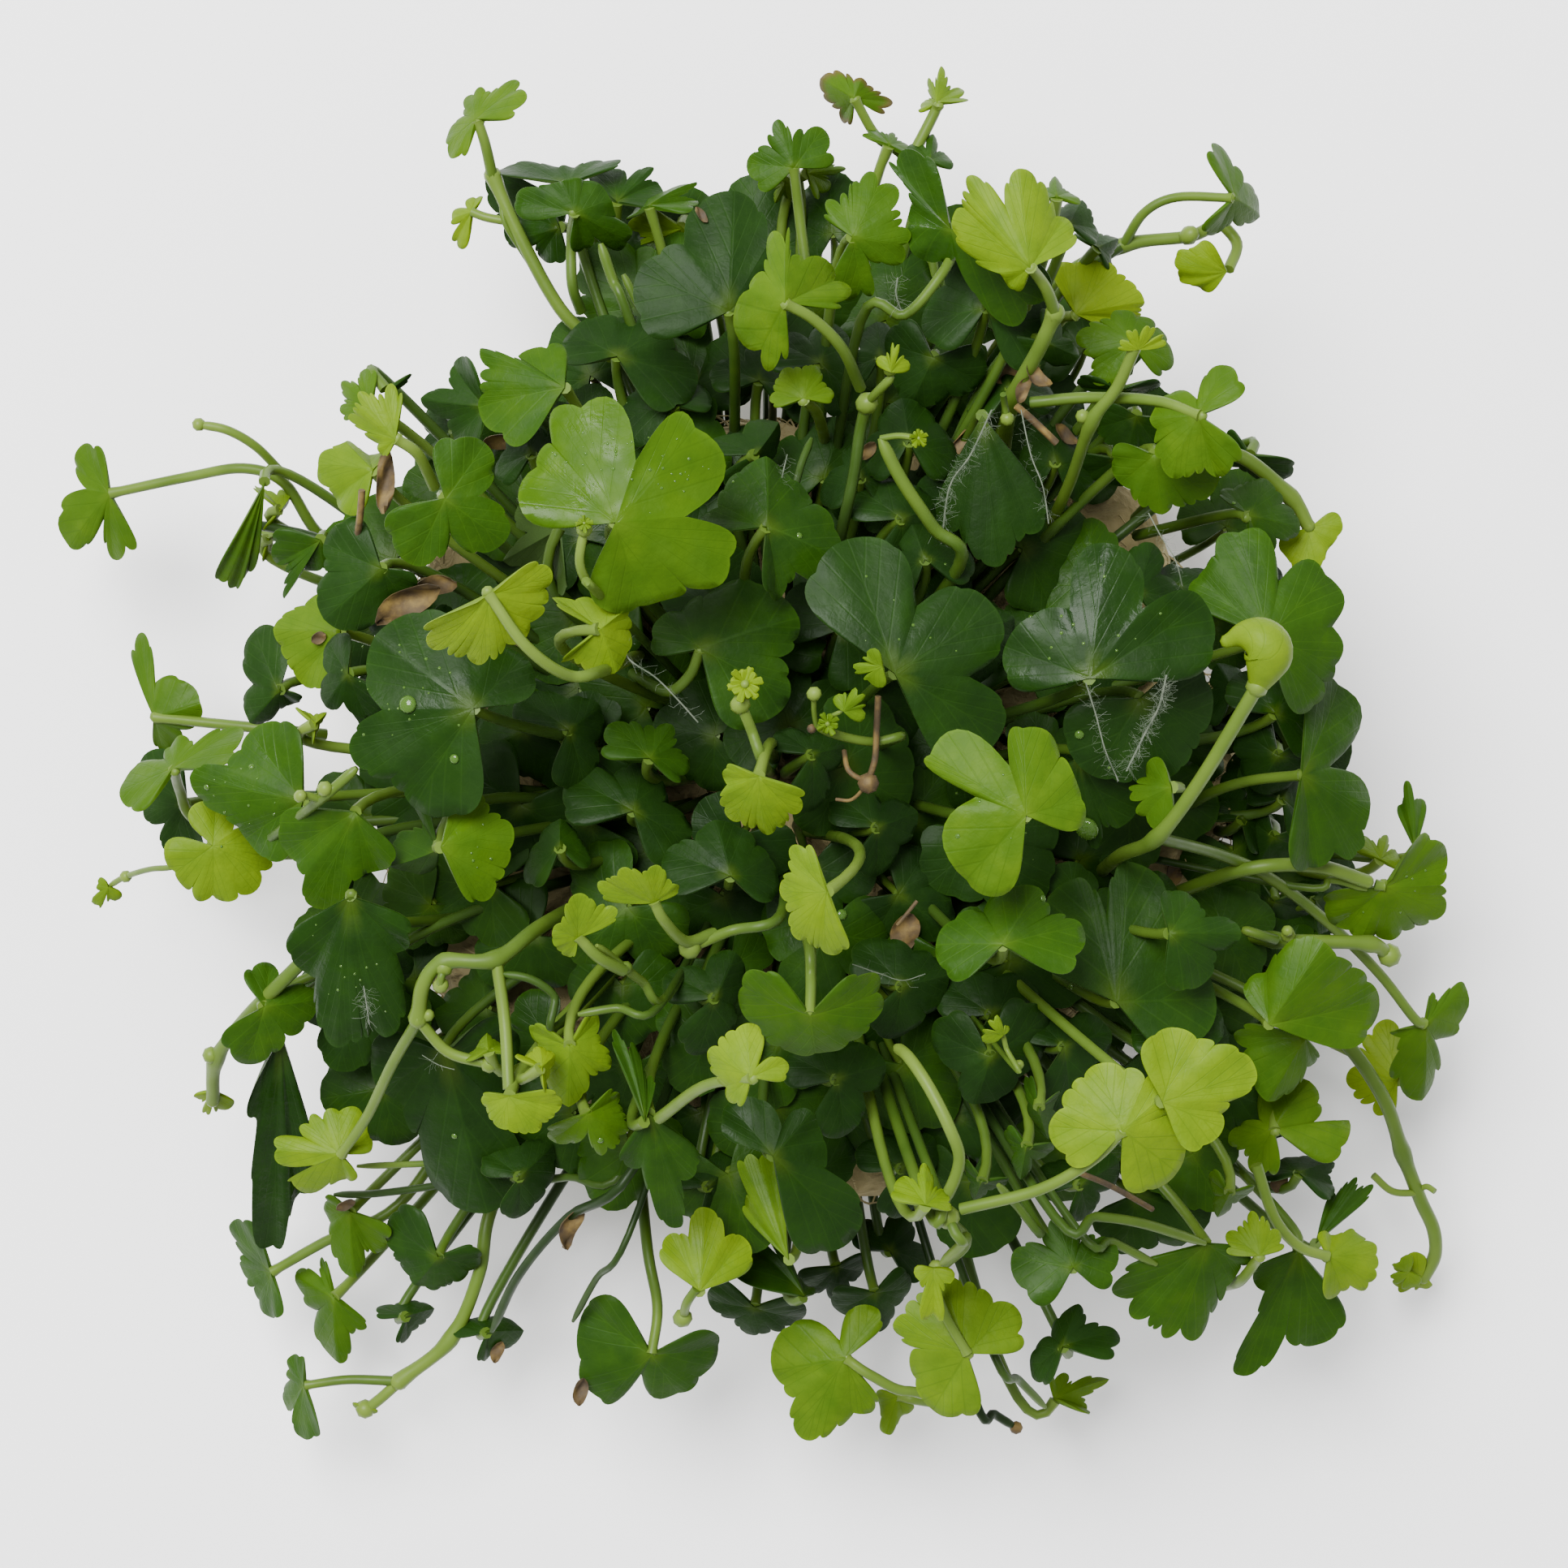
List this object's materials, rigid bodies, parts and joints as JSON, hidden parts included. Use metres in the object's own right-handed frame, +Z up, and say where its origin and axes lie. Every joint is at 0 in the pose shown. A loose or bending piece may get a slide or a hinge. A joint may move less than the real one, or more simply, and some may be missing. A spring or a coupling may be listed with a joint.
{
  "type": "pennywort plant",
  "caption": "Clump of three-lobed aquarium pennywort: slender creeping stems and lobed leaves rising from a flat-cut pad of growing wool.",
  "frame": {"origin": "centre of the root pad's flat underside, which rests on a surface", "axes": "+Z up out of the pad, +Y towards the top of the picture taken from above, +X towards its right"},
  "size_m": [0.1116, 0.1084, 0.0556],
  "materials": {
    "leaf_old": "satin dark green leaf",
    "leaf_green": "satin mid green leaf",
    "leaf_fresh": "satin fresh green leaf",
    "leaf_lime": "satin young yellow-green leaf",
    "stem": "smooth pale green stem",
    "root_pad": "matte fibrous wool"
  },
  "bodies": {
    "root": {"root_pad": "root_pad", "leaf_01": "leaf_fresh", "leaf_02": "leaf_green", "leaf_03": "leaf_old", "leaf_04": "leaf_green", "leaf_05": "leaf_fresh", "leaf_06": "leaf_green", "leaf_07": "leaf_green", "leaf_08": "leaf_fresh", "leaf_09": "leaf_lime", "leaf_10": "leaf_green", "leaf_11": "leaf_fresh", "leaf_12": "leaf_green", "leaf_13": "leaf_green", "leaf_14": "leaf_old", "leaf_15": "leaf_green", "leaf_16": "leaf_green", "leaf_17": "leaf_green", "leaf_18": "leaf_fresh", "leaf_19": "leaf_lime", "leaf_20": "leaf_green", "leaf_21": "leaf_green", "leaf_22": "leaf_old", "leaf_23": "leaf_fresh", "leaf_24": "leaf_green", "leaf_25": "leaf_lime", "leaf_26": "leaf_old", "leaf_27": "leaf_old", "leaf_28": "leaf_old", "leaf_29": "leaf_fresh", "leaf_30": "leaf_lime", "leaf_31": "leaf_green", "leaf_32": "leaf_fresh", "leaf_33": "leaf_green", "leaf_34": "leaf_fresh", "leaf_35": "leaf_green", "leaf_36": "leaf_green", "leaf_37": "leaf_lime", "leaf_38": "leaf_old", "leaf_39": "leaf_old", "leaf_40": "leaf_old", "leaf_41": "leaf_fresh", "leaf_42": "leaf_green", "leaf_43": "leaf_green", "leaf_44": "leaf_fresh", "leaf_45": "leaf_green", "leaf_46": "leaf_fresh", "leaf_47": "leaf_lime", "stem_01": "stem", "stem_02": "stem", "stem_03": "stem", "stem_04": "stem", "stem_05": "stem", "stem_06": "stem", "stem_07": "stem", "stem_08": "stem", "stem_09": "stem", "stem_10": "stem", "stem_11": "stem", "stem_12": "stem"}
  },
  "joints": []
}
